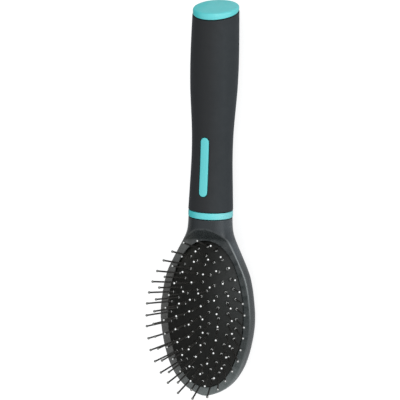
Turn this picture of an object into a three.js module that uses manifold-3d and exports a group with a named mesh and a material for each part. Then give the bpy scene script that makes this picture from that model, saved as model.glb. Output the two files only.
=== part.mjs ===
// Pneumatic cushion pin brush for pet grooming, in millimetres.
// It lies on its back: pins point up (+Z), the handle runs along +Y, width is along X.
// Origin: on the resting plane, straight under the crown of the rubber pad.
// All pieces are drawn with the crown at zero, then raised together by LIFT.
import * as THREE from 'three';
import { mergeVertices } from 'three/addons/utils/BufferGeometryUtils.js';
import Module from 'manifold-3d';

const wasm = await Module();
wasm.setup();
const { degToRad, lerp, smoothstep } = THREE.MathUtils;

// ---------------------------------------------------------------- shared dimensions
const LIFT = 23;        // height of the pad's crown above the resting plane
const GAP = 0.3;        // clearance between neighbouring pieces
const ROUND_SIDES = 32; // sides of the outer bodies
const ROD_SIDES = 24;   // sides of the tang, bore and plug

const FINISHES = {
  head: { color: 0x4d5356, roughness: 0.34, metalness: 0 },
  collar: { color: 0x58c3c6, roughness: 0.4, metalness: 0 },
  grip: { color: 0x3a3c3e, roughness: 0.85, metalness: 0 },
  inlay: { color: 0x6cd2d8, roughness: 0.35, metalness: 0 },
  cap: { color: 0x74c9cd, roughness: 0.4, metalness: 0 },
  pins: { color: 0x8a8c8e, roughness: 0.25, metalness: 0.9 },
  pad: { color: 0x252524, roughness: 0.55, metalness: 0 },
};

// ---------------------------------------------------------------- helpers
// Smooth curve through [x, y] points that never overshoots them (monotone cubic).
function curveThrough(points) {
  const last = points.length - 1;
  const xs = points.map(([x]) => x);
  const ys = points.map(([, y]) => y);
  const widths = [];
  const slopes = [];
  for (let i = 0; i < last; i++) {
    widths.push(xs[i + 1] - xs[i]);
    slopes.push((ys[i + 1] - ys[i]) / widths[i]);
  }
  const tangents = points.map((_, i) => {
    if (i === 0) return slopes[0];
    if (i === last) return slopes[last - 1];
    if (slopes[i - 1] * slopes[i] <= 0) return 0;
    const before = 2 * widths[i] + widths[i - 1];
    const after = widths[i] + 2 * widths[i - 1];
    return (before + after) / (before / slopes[i - 1] + after / slopes[i]);
  });
  return (x) => {
    let i = 0;
    while (i < last - 1 && x > xs[i + 1]) i++;
    const t = (x - xs[i]) / widths[i];
    const rise = ys[i + 1] - ys[i];
    const start = tangents[i] * widths[i];
    const end = tangents[i + 1] * widths[i];
    return ys[i] + t * (start + t * (3 * rise - 2 * start - end + t * (start + end - 2 * rise)));
  };
}

// Joins the corners that three.js keeps apart for normals and texture.
function weld(geometry) {
  geometry.deleteAttribute('normal');
  geometry.deleteAttribute('uv');
  return mergeVertices(geometry, 1e-5);
}

function solid(geometry) {
  const welded = weld(geometry);
  return new wasm.Manifold(new wasm.Mesh({
    numProp: 3,
    vertProperties: new Float32Array(welded.attributes.position.array),
    triVerts: new Uint32Array(welded.index.array),
  }));
}

// Solid from a geometry whose every vertex is first moved in place by move(vertex).
function warped(geometry, move) {
  const welded = weld(geometry);
  const position = welded.attributes.position;
  const v = new THREE.Vector3();
  for (let i = 0; i < position.count; i++) {
    v.fromBufferAttribute(position, i);
    move(v);
    position.setXYZ(i, v.x, v.y, v.z);
  }
  return solid(welded);
}

const union = (bodies) => bodies.reduce((joined, body) => joined.add(body));

// Cylinder of radius 1 and length 1 along Y, to be warped.
const unitCylinder = (sides, steps = 1) => new THREE.CylinderGeometry(1, 1, 1, sides, steps);

// Which of the equal steps along a unit-long geometry (-0.5 to 0.5) a vertex is on.
const stepAt = (y, steps) => Math.round((y + 0.5) * steps);

const brush = new THREE.Group();
const raised = new THREE.Group();
raised.position.z = LIFT;
brush.add(raised);

function addPiece(name, body, finish) {
  const { vertProperties, triVerts } = body.getMesh();
  const geometry = new THREE.BufferGeometry();
  geometry.setAttribute(
    'position',
    new THREE.BufferAttribute(new Float32Array(vertProperties), 3),
  );
  geometry.setIndex(new THREE.BufferAttribute(new Uint32Array(triVerts), 1));
  geometry.computeVertexNormals();
  const mesh = new THREE.Mesh(geometry, new THREE.MeshStandardMaterial(finish));
  mesh.name = name;
  raised.add(mesh);
}

// ---------------------------------------------------------------- pad outline and dome
const PAD_CENTRE_Y = 2.5;
// Outline radius at an angle from +Y: the sum of each term times cos(index * angle).
const PAD_RADIUS_TERMS = [28.6137, 0.2833, 8.505, 0.0967, 1.9512, -0.0382, 0.4899];
const PAD_SIDES = 28;                   // straight sides of the pad and its well
const DOME_FALL = { x: 0.0129, y: 0.0049 }; // the dome falls by these times x^2 and y^2

const domeZ = (x, y) => -(DOME_FALL.x * x * x + DOME_FALL.y * y * y);

function outlinePoint(angle) {
  const radius = PAD_RADIUS_TERMS.reduce((sum, term, i) => sum + term * Math.cos(i * angle), 0);
  return new THREE.Vector2(radius * Math.sin(angle), PAD_CENTRE_Y + radius * Math.cos(angle));
}

// Point on the pad's outline, moved outwards square to it.
function padPoint(angle, outwards) {
  const step = 1e-3;
  const tangent = outlinePoint(angle + step).sub(outlinePoint(angle - step)).normalize();
  const normal = new THREE.Vector2(-tangent.y, tangent.x);
  return outlinePoint(angle).addScaledVector(normal, outwards);
}

// ---------------------------------------------------------------- handle axis and tang
const NECK_END_Y = 55;
const AXIS = { y: 57, z: -10.1, slope: -0.0112 };    // height at y, and change per mm
const OVALNESS = { atAxisY: 0.953, slope: -0.00022 }; // height over width, at AXIS.y and per mm
const TANG = { halfWidth: 8.1, halfHeight: 7.6, startY: 50, endY: 132 };
const BORE_END_Y = 180;                 // anywhere past the grip

const axisZ = (y) => AXIS.z + AXIS.slope * (y - AXIS.y);
const ovalness = (y) => OVALNESS.atAxisY + OVALNESS.slope * (y - AXIS.y);

// Moves a unit-circle vertex onto an ellipse around the handle axis at y.
function placeOnAxis(v, y, halfWidth, halfHeight) {
  v.set(halfWidth * v.x, y, axisZ(y) + halfHeight * v.z);
}

// Oval rod like the tang, grown all round.
function tangRod(grow, endY) {
  return warped(unitCylinder(ROD_SIDES), (v) => {
    const y = v.y < 0 ? TANG.startY : endY;
    placeOnAxis(v, y, TANG.halfWidth + grow, TANG.halfHeight + grow);
  });
}

const bore = () => tangRod(GAP, BORE_END_Y);

// ---------------------------------------------------------------- head
const TIP_Y = -41.4;
// [y, half-width]
const HEAD_HALF_WIDTHS = [
  [-41.25, 1.5], [-40, 5.6], [-38, 9.8], [-36, 12.6], [-32, 16.4], [-28, 19], [-24, 21],
  [-20, 22.45], [-16, 23.65], [-12, 24.6], [-8, 25.4], [-4, 26], [0, 26.3], [4, 26.25],
  [8, 25.9], [12, 25.4], [16, 24.8], [20, 23.95], [24, 22.85], [28, 21.15], [32, 19.15],
  [36, 17.15], [40, 15.15], [42, 14.2], [44, 13.35], [46, 12.65], [48, 12.2], [50, 11.95],
  [52, 11.8], [55, 11.7],
];
// y of the sections the head is drawn through
const HEAD_SECTIONS_Y = [
  -41.25, -40.5, -39, -36.5, -33, -28, -21.5, -13, -3, 7, 15.5, 22.5, 29, 35, 40, 44, 47, 50,
  NECK_END_Y,
];
const HEAD_TOP_Z = 1.05;
const HEAD_MID_Z = -9.2;                // widest level of the head
const KEEL_Z = { head: -23.3, neck: -21.23 };
const NECK_BLEND_Y = [30, 50];          // head section turns into neck section
const KEEL_BLEND_Y = [26, 52];          // keel rises from head to neck
const NOSE_Y = -8;                      // from here to the tip the underside curves up
const NOSE_POWER = 2.3;
// Superellipse powers of the sections; 2 is a plain ellipse.
const HEAD_POWER = { top: 3, bottom: 2.3 };
const NECK_POWER = 2;

const RIM_Z = -6;
const WELL_FLOOR_Z = -15.6;
const LEDGE_Y = 44.4;                   // where the dish starts to climb to the neck
const LEDGE_SLOPE = 1.45;
const DISH_Y = [-60, LEDGE_Y, LEDGE_Y + 2, LEDGE_Y + 4.5, LEDGE_Y + 9];
const DISH_BOW = { perXSquared: 0.01, maxXSquared: 400 }; // ledge bends to -Y at the sides
const CUT_TOP_Z = 30;                   // clear above the head
const CUT_WIDTH = 80;                   // wider than the head

// Interpolated over the root of the distance from the tip, which keeps the tip round.
const fromTip = (y) => Math.sqrt(y - TIP_Y);
const widthCurve = curveThrough(HEAD_HALF_WIDTHS.map(([y, width]) => [fromTip(y), width]));

function headSection(y) {
  const neck = smoothstep(y, ...NECK_BLEND_Y);
  const mid = lerp(HEAD_MID_Z, axisZ(NECK_END_Y), neck);
  const keel = lerp(KEEL_Z.head, KEEL_Z.neck, smoothstep(y, ...KEEL_BLEND_Y));
  const nose = Math.max(0, (NOSE_Y - y) / (NOSE_Y - TIP_Y));
  return {
    mid,
    halfWidth: widthCurve(fromTip(y)),
    rise: HEAD_TOP_Z - mid,
    drop: (mid - keel) * (1 - nose ** NOSE_POWER) ** (1 / NOSE_POWER),
    topPower: lerp(HEAD_POWER.top, NECK_POWER, neck),
    bottomPower: lerp(HEAD_POWER.bottom, NECK_POWER, neck),
  };
}

const superellipse = (value, power) => Math.sign(value) * Math.abs(value) ** (2 / power);

function headBody() {
  const steps = HEAD_SECTIONS_Y.length - 1;
  return warped(unitCylinder(ROUND_SIDES, steps), (v) => {
    const y = HEAD_SECTIONS_Y[stepAt(v.y, steps)];
    const section = headSection(y);
    const upper = v.z >= 0;
    const power = upper ? section.topPower : section.bottomPower;
    const height = upper ? section.rise : section.drop;
    v.set(
      section.halfWidth * superellipse(v.x, power),
      y,
      section.mid + height * superellipse(v.z, power),
    );
  });
}

// Everything below the resting plane, cut away to leave a flat patch on the back.
function belowRest() {
  const height = 20;
  const block = new THREE.BoxGeometry(CUT_WIDTH, 140, height);
  block.translate(0, 0, -LIFT - height / 2);
  return solid(block);
}

// Space above the flat rim; its floor climbs a curved ledge into the neck.
function dish() {
  const steps = DISH_Y.length - 1;
  return warped(new THREE.BoxGeometry(CUT_WIDTH, 1, 1, 16, steps, 1), (v) => {
    const k = stepAt(v.y, steps);
    const bow = k === 0 ? 0 : DISH_BOW.perXSquared * Math.min(v.x * v.x, DISH_BOW.maxXSquared);
    const floorZ = RIM_Z + LEDGE_SLOPE * Math.max(0, DISH_Y[k] - LEDGE_Y);
    v.set(v.x, DISH_Y[k] - bow, v.z > 0 ? CUT_TOP_Z : floorZ);
  });
}

function padWell() {
  const corners = [];
  for (let i = 0; i < PAD_SIDES; i++) {
    corners.push(padPoint(-2 * Math.PI * i / PAD_SIDES, GAP / 2));
  }
  const well = new THREE.ExtrudeGeometry(new THREE.Shape(corners), {
    depth: 40,
    bevelEnabled: false,
  });
  well.translate(0, 0, WELL_FLOOR_Z);
  return solid(well);
}

const head = headBody().subtract(belowRest()).subtract(dish()).subtract(padWell());
addPiece('brush_head', head.add(tangRod(0, TANG.endY)), FINISHES.head);

// ---------------------------------------------------------------- collar ring
const COLLAR_START_Y = NECK_END_Y + GAP;
const COLLAR_END_Y = COLLAR_START_Y + 3.4;
const COLLAR_HALF_WIDTH = 11.8;

function collarRing() {
  const outer = warped(unitCylinder(ROUND_SIDES), (v) => {
    const y = v.y < 0 ? COLLAR_START_Y : COLLAR_END_Y;
    placeOnAxis(v, y, COLLAR_HALF_WIDTH, COLLAR_HALF_WIDTH * ovalness(y));
  });
  return outer.subtract(bore());
}
addPiece('collar_ring', collarRing(), FINISHES.collar);

// ---------------------------------------------------------------- grip sleeve and inlay bar
const GRIP_START_Y = COLLAR_END_Y + GAP;
const GRIP_END_Y = 162.9;               // where the slanted end crosses the handle axis
const GRIP_STEPS = 12;
const JOINT_LEAN = Math.tan(degToRad(16)); // slant of the joint between grip and cap
// [y, half-width]
const GRIP_HALF_WIDTHS = [
  [59, 11.9], [65.6, 11.62], [72, 11.38], [78.5, 11.12], [85, 10.92], [91, 10.86],
  [97.6, 10.96], [104, 11.24], [110.3, 11.66], [116.7, 12.11], [123, 12.5], [129.3, 12.7],
  [135.6, 12.81], [142, 12.79], [148.2, 12.7], [154.5, 12.56], [160.7, 12.4], [168, 12.2],
];
// Round-ended bar along Y, flush with the pin side (+Z) of the grip.
const BAR = { startY: 67.2, endY: 98.4, width: 4.6, floorZ: -1.35 };

const gripHalfWidth = curveThrough(GRIP_HALF_WIDTHS);

function gripBody() {
  const endHalfHeight = gripHalfWidth(GRIP_END_Y) * ovalness(GRIP_END_Y);
  return warped(unitCylinder(ROUND_SIDES, GRIP_STEPS), (v) => {
    const endY = GRIP_END_Y - JOINT_LEAN * endHalfHeight * v.z;
    const y = GRIP_START_Y + (v.y + 0.5) * (endY - GRIP_START_Y);
    const halfWidth = gripHalfWidth(y);
    placeOnAxis(v, y, halfWidth, halfWidth * ovalness(y));
  });
}

// Bar standing up through the grip's surface, grown by a clearance at the sides and floor.
function barBody(clearance) {
  const radius = BAR.width / 2;
  const shape = new THREE.Shape();
  shape.absarc(0, BAR.startY + radius, radius + clearance, Math.PI, 2 * Math.PI, false);
  shape.absarc(0, BAR.endY - radius, radius + clearance, 0, Math.PI, false);
  const block = new THREE.ExtrudeGeometry(shape, {
    depth: 8,
    bevelEnabled: false,
    curveSegments: 8,
  });
  block.translate(0, 0, BAR.floorZ - clearance);
  return solid(block);
}

const grip = gripBody();
addPiece('grip_sleeve', grip.subtract(bore()).subtract(barBody(GAP)), FINISHES.grip);
addPiece('inlay_bar', grip.intersect(barBody(0)), FINISHES.inlay);

// ---------------------------------------------------------------- end cap with plug
const CAP_Y = 163.3;                    // where the cap's joint face crosses the axis
const CAP_TOP_Y = 165.9;
const CAP_HALF_WIDTH = 12.16;
const CAP_TOP_LEAN = Math.tan(degToRad(12.5));
const CAP_SECTIONS = [
  { y: CAP_Y, scale: 1, lean: JOINT_LEAN },
  { y: CAP_TOP_Y - 1.4, scale: 0.995, lean: CAP_TOP_LEAN },
  { y: CAP_TOP_Y - 0.5, scale: 0.975, lean: CAP_TOP_LEAN },
  { y: CAP_TOP_Y, scale: 0.93, lean: CAP_TOP_LEAN },
];
const PLUG_LENGTH = 16;
const PLUG_OVERLAP = 0.4;               // how far the plug runs into the cap

function capBody() {
  const steps = CAP_SECTIONS.length - 1;
  return warped(unitCylinder(ROUND_SIDES, steps), (v) => {
    const { y, scale, lean } = CAP_SECTIONS[stepAt(v.y, steps)];
    const height = CAP_HALF_WIDTH * ovalness(CAP_Y) * scale * v.z;
    v.set(CAP_HALF_WIDTH * scale * v.x, y - lean * height, axisZ(CAP_Y) + height);
  });
}

function plug() {
  return warped(unitCylinder(ROD_SIDES), (v) => {
    const slantedY = CAP_Y + PLUG_OVERLAP - JOINT_LEAN * TANG.halfHeight * v.z;
    const y = v.y < 0 ? CAP_Y - PLUG_LENGTH : slantedY;
    placeOnAxis(v, y, TANG.halfWidth, TANG.halfHeight);
  });
}
addPiece('end_cap', capBody().add(plug()), FINISHES.cap);

// ---------------------------------------------------------------- pins
// Length is from the pad's outer face to the ball's widest level.
const PIN = { radius: 0.42, length: 14.96, sides: 6, tail: 0.3 };
const BALL = { radius: 0.68, taper: 0.6 };
const ROOT_DROP = 2.95;                 // depth of the pins' roots under the pad's outer face
const STRIP = { width: 1.5, thickness: 0.9, overhang: 0.9 };
// Pins fan out: lean per mm from the middle, plus a cubic term.
const FAN_X = { middle: 0, linear: 0.0405, cubic: 1.29e-5 };
const FAN_Y = { middle: 8.53, linear: 0.0142, cubic: -9.9e-7 };
// [x, y] of the pins' feet, outermost ring first; top is the handle end (+Y).
// Arcs that don't cross the middle (x = 0) are the right-hand (+X) ones of a mirrored pair.
const RINGS = {
  ring1: {
    top: [[-5, 37.7], [0, 39.2], [5, 37.7]],
    upper: [[8.9, 33.3], [12.1, 28.9], [14.5, 23.8], [16.3, 18.7]],
    side: [[17.7, 13.5], [18.5, 8.3], [18.5, 2.8], [18.3, -2.2], [17.5, -7.7]],
    lower: [[16.6, -13.1], [14.6, -17.9], [12.2, -22.7], [9.4, -27]],
    bottom: [[-5.5, -31.1], [0, -32.8], [5.5, -31.1]],
  },
  ring2: {
    top: [[-4.8, 31.7], [0, 34.6], [4.8, 31.7]],
    upper: [[8, 27.1], [10.6, 21.9], [12.7, 16.8], [13.8, 11.3], [14.4, 5.8]],
    lower: [[14.6, 0], [13.9, -5.7], [12.7, -11], [11.1, -16.3], [8.4, -21.2]],
    bottom: [[-5, -25.5], [0, -28.1], [5, -25.5]],
  },
  ring3: {
    top: [[-3.7, 25.2], [0, 30.1], [3.7, 25.2]],
    upper: [[6.4, 19.9], [8.2, 14.4], [9.3, 8.6], [9.8, 3]],
    lower: [[9.3, -3.1], [8.5, -9.1], [6.3, -14.2]],
    bottom: [[-3.7, -19.5], [0, -23.6], [3.7, -19.5]],
  },
  ring4: {
    top: [[-2.7, 16.9], [0, 21.3], [2.7, 16.9]],
    side: [[3.9, 11.5], [4.7, 5.9], [4.9, 0], [4.2, -5.7]],
    bottom: [[-2.5, -11.3], [0, -16.3], [2.5, -11.3]],
  },
  ring5: { row: [[0, 13.8], [0, 8.8], [0, 3], [0, -2.5], [0, -8.2]] },
};

function fanLean(fan, place) {
  const offset = place - fan.middle;
  return fan.linear * offset + fan.cubic * offset ** 3;
}
const pinAxis = (x, y) => new THREE.Vector3(fanLean(FAN_X, x), fanLean(FAN_Y, y), 1).normalize();
const pinFoot = (x, y) => new THREE.Vector3(x, y, domeZ(x, y));

// Solid from a geometry drawn along +Y, turned to a direction and moved to a place.
function solidAlong(geometry, place, direction) {
  const up = new THREE.Vector3(0, 1, 0);
  geometry.applyQuaternion(new THREE.Quaternion().setFromUnitVectors(up, direction));
  geometry.translate(place.x, place.y, place.z);
  return solid(geometry);
}

function makePin([x, y]) {
  const axis = pinAxis(x, y);
  const buried = ROOT_DROP / axis.z;
  const root = pinFoot(x, y).addScaledVector(axis, -buried);
  const length = PIN.length + buried;
  const profile = [
    [0, -PIN.tail],
    [PIN.radius, -PIN.tail],
    [PIN.radius, length - BALL.taper],
    [BALL.radius, length],
    [0, length + BALL.radius],
  ].map(([radius, height]) => new THREE.Vector2(radius, height));
  return { axis, root, body: solidAlong(new THREE.LatheGeometry(profile, PIN.sides), root, axis) };
}

// Backing strip through the roots of a bank of pins.
function backingStrip(pins) {
  const last = pins.length - 1;
  return warped(new THREE.BoxGeometry(1, 1, 1, 1, last, 1), (v) => {
    const k = stepAt(v.y, last);
    const { root, axis } = pins[k];
    const before = pins[Math.max(0, k - 1)].root;
    const after = pins[Math.min(last, k + 1)].root;
    const forward = after.clone().sub(before).normalize();
    const across = new THREE.Vector3().crossVectors(forward, axis).normalize();
    const upward = new THREE.Vector3().crossVectors(across, forward);
    let overhang = 0;
    if (k === 0) overhang = -STRIP.overhang;
    if (k === last) overhang = STRIP.overhang;
    const { x, z } = v;
    v.copy(root)
      .addScaledVector(forward, overhang)
      .addScaledVector(across, x * STRIP.width)
      .addScaledVector(upward, z * STRIP.thickness);
  });
}

function listBanks() {
  const banks = [];
  for (const [ring, arcs] of Object.entries(RINGS)) {
    for (const [arc, feet] of Object.entries(arcs)) {
      const name = `pins_${ring}_${arc}`;
      if (feet.some(([x]) => x === 0)) {
        banks.push({ name, feet });
      } else {
        banks.push({ name: `${name}_right`, feet });
        banks.push({ name: `${name}_left`, feet: feet.map(([x, y]) => [-x, y]) });
      }
    }
  }
  return banks;
}

const banks = listBanks();
for (const { name, feet } of banks) {
  const pins = feet.map(makePin);
  const body = union([...pins.map((pin) => pin.body), backingStrip(pins)]);
  addPiece(name, body, FINISHES.pins);
}

// ---------------------------------------------------------------- rubber pad
const PAD_THICKNESS = 1.6;
const PAD_EDGE_THICKNESS = 2.4;
// Square hole around each pin; the radius is to its corners.
const HOLE = { radius: PIN.radius + 0.75, length: 9, sides: 4, drop: 0.5 };
// [fraction of the way to the outline, height from the dome]
const PAD_PROFILE = [
  [0, 0], [0.38, 0], [0.72, 0], [1, 0],
  [1, -PAD_EDGE_THICKNESS], [0.9, -PAD_THICKNESS], [0.5, -PAD_THICKNESS], [0, -PAD_THICKNESS],
];

function padBody() {
  const profile = PAD_PROFILE.map(([fraction, height]) => new THREE.Vector2(fraction, height));
  return warped(new THREE.LatheGeometry(profile, PAD_SIDES), (v) => {
    const fraction = Math.hypot(v.x, v.z);
    const edge = padPoint(Math.atan2(v.x, v.z), -GAP / 2);
    const x = edge.x * fraction;
    const y = PAD_CENTRE_Y + (edge.y - PAD_CENTRE_Y) * fraction;
    v.set(x, y, domeZ(x, y) + v.y);
  });
}

function pinHole([x, y]) {
  const axis = pinAxis(x, y);
  const centre = pinFoot(x, y).addScaledVector(axis, -HOLE.drop);
  const prism = new THREE.CylinderGeometry(HOLE.radius, HOLE.radius, HOLE.length, HOLE.sides);
  return solidAlong(prism, centre, axis);
}

const holes = union(banks.flatMap(({ feet }) => feet).map(pinHole));
addPiece('cushion_pad', padBody().subtract(holes), FINISHES.pad);

export default brush;
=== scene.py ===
"""Looks for a cushion pin brush: fine meshes and procedural materials around its CAD pieces.

The brush lies with its pins up (+Z), the head's tip towards -Y and the handle towards +Y. Shapes are drawn in
millimetres from the crown of the rubber pad; make() lifts them to the resting plane at z 0 and turns them to metres.
"""

import math
from itertools import product

import bmesh
import bpy
import numpy as np
from mathutils import Matrix, Vector
from mathutils.geometry import delaunay_2d_cdt


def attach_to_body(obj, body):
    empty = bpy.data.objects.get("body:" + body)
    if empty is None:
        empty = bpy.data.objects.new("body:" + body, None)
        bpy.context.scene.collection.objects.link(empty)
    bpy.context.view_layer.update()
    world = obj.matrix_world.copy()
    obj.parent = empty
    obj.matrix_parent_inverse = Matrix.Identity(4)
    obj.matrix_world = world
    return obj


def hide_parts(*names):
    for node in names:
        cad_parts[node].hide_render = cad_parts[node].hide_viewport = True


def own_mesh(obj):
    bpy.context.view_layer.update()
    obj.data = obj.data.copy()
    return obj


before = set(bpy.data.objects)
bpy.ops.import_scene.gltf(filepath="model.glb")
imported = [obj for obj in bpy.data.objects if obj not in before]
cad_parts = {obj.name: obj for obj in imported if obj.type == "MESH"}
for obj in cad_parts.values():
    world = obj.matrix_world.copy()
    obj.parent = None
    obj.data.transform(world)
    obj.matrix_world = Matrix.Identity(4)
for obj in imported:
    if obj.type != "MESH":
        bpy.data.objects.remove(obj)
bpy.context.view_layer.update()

# ---------------------------------------------------------------- dimensions (mm)
# In names, A is a half-width along X and B a half-height along Z.
LIFT = 23.0                                   # pad's crown above the resting plane

# pad: outline as a cosine series round (0, PAD_Y), dome as falls per square of x and y
PAD_Y = 2.5
PAD_R = [28.6137, 0.2833, 8.505, 0.0967, 1.9512, -0.0382, 0.4899]
DOME_X, DOME_Y = 0.0129, 0.0049
PAD_T = 1.6

# head
TIP_Y, WIDEST_Y = -41.4, 1.5
# (y, half-width) of the head and neck from above
HEAD_W = [
    (-41.25, 1.5), (-40, 5.6), (-38, 9.8), (-36, 12.6), (-32, 16.4), (-28, 19.0), (-24, 21.0),
    (-20, 22.45), (-16, 23.65), (-12, 24.6), (-8, 25.4), (-4, 26.0), (0, 26.3), (4, 26.25),
    (8, 25.9), (12, 25.4), (16, 24.8), (20, 23.95), (24, 22.85), (28, 21.15), (32, 19.15),
    (36, 17.15), (40, 15.15), (42, 14.2), (44, 13.35), (46, 12.65), (48, 12.2), (50, 11.95),
    (52, 11.8), (55, 11.7)]
RIM_Z, WELL_Z = -6.0, -15.6
LEDGE_Y, LEDGE_SLOPE = 43.5, 1.04             # ramp that climbs from the rim to the neck
NECK_END = 55.0

# handle: its axis and ovalness change evenly with y from AXIS_Y
AXIS_Y, AXIS_Z, AXIS_FALL = 57, -10.1, 0.0112
OVALNESS, OVAL_FALL = 0.953, 0.00022
COLLAR_Y, COLLAR_A = (55.3, 58.7), 11.8
GRIP_Y0, GRIP_END = 59.0, 162.9
# (y, half-width) of the grip
GRIP_A = [
    (59, 11.9), (65.6, 11.62), (72, 11.38), (78.5, 11.12), (85, 10.92), (91, 10.86),
    (97.6, 10.96), (104, 11.24), (110.3, 11.66), (116.7, 12.11), (123, 12.5), (129.3, 12.7),
    (135.6, 12.81), (142, 12.79), (148.2, 12.7), (154.5, 12.56), (160.7, 12.4), (168, 12.2)]
CAP_LEAN, CAP_TOP_LEAN = math.tan(math.radians(16)), math.tan(math.radians(12.5))
CAP_Y, CAP_TOP, CAP_A = 163.3, 165.9, 12.16
PLUG_A, PLUG_B, PLUG_LEN, PLUG_GAP = 8.1, 7.6, 16.0, 0.3
BORE_A, BORE_B = PLUG_A + PLUG_GAP, PLUG_B + PLUG_GAP

# inlay bar on top of the grip, and the pocket it lies in
BAR_Y, BAR_W, BAR_FLOOR, BAR_GAP = (67.2, 98.4), 4.6, -1.35, 0.3
BAR_ARC_Y = (BAR_Y[0] + BAR_W / 2, BAR_Y[1] - BAR_W / 2)      # centres of its round ends
POCKET_R, POCKET_FLOOR = BAR_W / 2 + BAR_GAP, BAR_FLOOR - 0.3
BAR_SIDE_POINTS, BAR_ARC_STEPS = 60, 22

# pins
PIN_R, BALL_R, PIN_L, ROOT_DROP = 0.45, 0.68, 14.96, 2.95
# (x, y) of the pins' feet; "upper", "side" and "lower" arcs are mirrored to -X
RINGS = {
    "ring1": {
        "top": [(-5, 37.7), (0, 39.2), (5, 37.7)],
        "upper": [(8.9, 33.3), (12.1, 28.9), (14.5, 23.8), (16.3, 18.7)],
        "side": [(17.7, 13.5), (18.5, 8.3), (18.5, 2.8), (18.3, -2.2), (17.5, -7.7)],
        "lower": [(16.6, -13.1), (14.6, -17.9), (12.2, -22.7), (9.4, -27.0)],
        "bottom": [(-5.5, -31.1), (0, -32.8), (5.5, -31.1)],
    },
    "ring2": {
        "top": [(-4.8, 31.7), (0, 34.6), (4.8, 31.7)],
        "upper": [(8.0, 27.1), (10.6, 21.9), (12.7, 16.8), (13.8, 11.3), (14.4, 5.8)],
        "lower": [(14.6, 0), (13.9, -5.7), (12.7, -11.0), (11.1, -16.3), (8.4, -21.2)],
        "bottom": [(-5, -25.5), (0, -28.1), (5, -25.5)],
    },
    "ring3": {
        "top": [(-3.7, 25.2), (0, 30.1), (3.7, 25.2)],
        "upper": [(6.4, 19.9), (8.2, 14.4), (9.3, 8.6), (9.8, 3.0)],
        "lower": [(9.3, -3.1), (8.5, -9.1), (6.3, -14.2)],
        "bottom": [(-3.7, -19.5), (0, -23.6), (3.7, -19.5)],
    },
    "ring4": {
        "top": [(-2.7, 16.9), (0, 21.3), (2.7, 16.9)],
        "side": [(3.9, 11.5), (4.7, 5.9), (4.9, 0), (4.2, -5.7)],
        "bottom": [(-2.5, -11.3), (0, -16.3), (2.5, -11.3)],
    },
    "ring5": {"row": [(0, 13.8), (0, 8.8), (0, 3.0), (0, -2.5), (0, -8.2)]},
}


# ---------------------------------------------------------------- curves and sections
def curve_through(stations):
    """smooth curve through (place, value) stations, held beyond both ends"""
    places, values = np.array(stations, float).T
    gaps = np.diff(places)
    rises = np.diff(values) / gaps
    slopes = np.zeros(len(places))
    for i in range(1, len(places) - 1):
        if rises[i - 1] * rises[i] > 0:
            before, after = 2 * gaps[i] + gaps[i - 1], gaps[i] + 2 * gaps[i - 1]
            slopes[i] = (before + after) / (before / rises[i - 1] + after / rises[i])
    slopes[0], slopes[-1] = rises[0], rises[-1]

    def curve(x):
        x = np.asarray(x, float)
        i = np.clip(np.searchsorted(places, x, side="left") - 1, 0, len(places) - 2)
        part = np.clip((x - places[i]) / gaps[i], 0, 1)
        low, high = values[i], values[i + 1]
        leave, arrive = slopes[i] * gaps[i], slopes[i + 1] * gaps[i]
        cubic = leave + arrive - 2 * (high - low)
        return low + part * (leave + part * (3 * (high - low) - 2 * leave - arrive + part * cubic))

    return curve


def ease(value):
    part = np.clip(value, 0, 1)
    return part * part * (3 - 2 * part)


def quarter(radius, count):
    """(run, inset) pairs round a rounded edge, from (radius, 0) to (0, radius)"""
    return [(radius * (1 - math.sin(turn)), radius * (1 - math.cos(turn)))
            for turn in np.linspace(0, math.pi / 2, count)]


# over the root of the distance from the tip, so that the tip comes out round
width_by_root = curve_through([(math.sqrt(y - TIP_Y), w) for y, w in HEAD_W])
grip_width = curve_through(GRIP_A)


def head_width(y):
    return width_by_root(np.sqrt(np.maximum(0, y - TIP_Y)))


def axis_z(y):
    return AXIS_Z - AXIS_FALL * (y - AXIS_Y)


def ovalness(y):
    return OVALNESS - OVAL_FALL * (y - AXIS_Y)


def dome(x, y):
    return -(DOME_X * x * x + DOME_Y * y * y)


def pad_radius(angle):
    return sum(c * np.cos(i * angle) for i, c in enumerate(PAD_R))


def pad_slope(angle):
    return sum(-i * c * np.sin(i * angle) for i, c in enumerate(PAD_R))


def pad_points(angle, outset):
    """points of the pad's outline at angles from +Y, moved outwards"""
    radius, slope = pad_radius(angle), pad_slope(angle)
    sine, cosine = np.sin(angle), np.cos(angle)
    along_x, along_y = slope * sine + radius * cosine, slope * cosine - radius * sine
    length = np.hypot(along_x, along_y)
    return np.stack([radius * sine - along_y / length * outset,
                     PAD_Y + radius * cosine + along_x / length * outset], -1)


def pad_distance(x, y):
    angle = np.arctan2(x, y - PAD_Y)
    radius, slope = pad_radius(angle), pad_slope(angle)
    return (np.hypot(x, y - PAD_Y) - radius) / np.sqrt(1 + (slope / radius) ** 2)


def pin_axis(x, y):
    """direction of the pin with its foot at (x, y); pins fan out from an upright one at y 8.53"""
    along = y - 8.53
    axis = np.array([0.0405 * x + 0.0129e-3 * x ** 3, 0.0142 * along - 0.0099e-4 * along ** 3, 1.0])
    return axis / np.linalg.norm(axis)


# ---------------------------------------------------------------- mesh helpers
def make(name, points, faces, materials, face_material=None):
    """mesh object from points in mm around the pad's crown"""
    mesh = bpy.data.meshes.new(name)
    metres = (np.asarray(points, float) + [0, 0, LIFT]) / 1000.0
    mesh.from_pydata(metres.tolist(), [], [tuple(int(i) for i in face) for face in faces])
    for material in materials:
        mesh.materials.append(material)
    if face_material is not None:
        mesh.polygons.foreach_set("material_index", np.asarray(face_material, np.int32))
    mesh.polygons.foreach_set("use_smooth", [True] * len(mesh.polygons))
    mesh.validate()
    mesh.update()
    obj = bpy.data.objects.new(name, mesh)
    bpy.context.scene.collection.objects.link(obj)
    return obj


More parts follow.
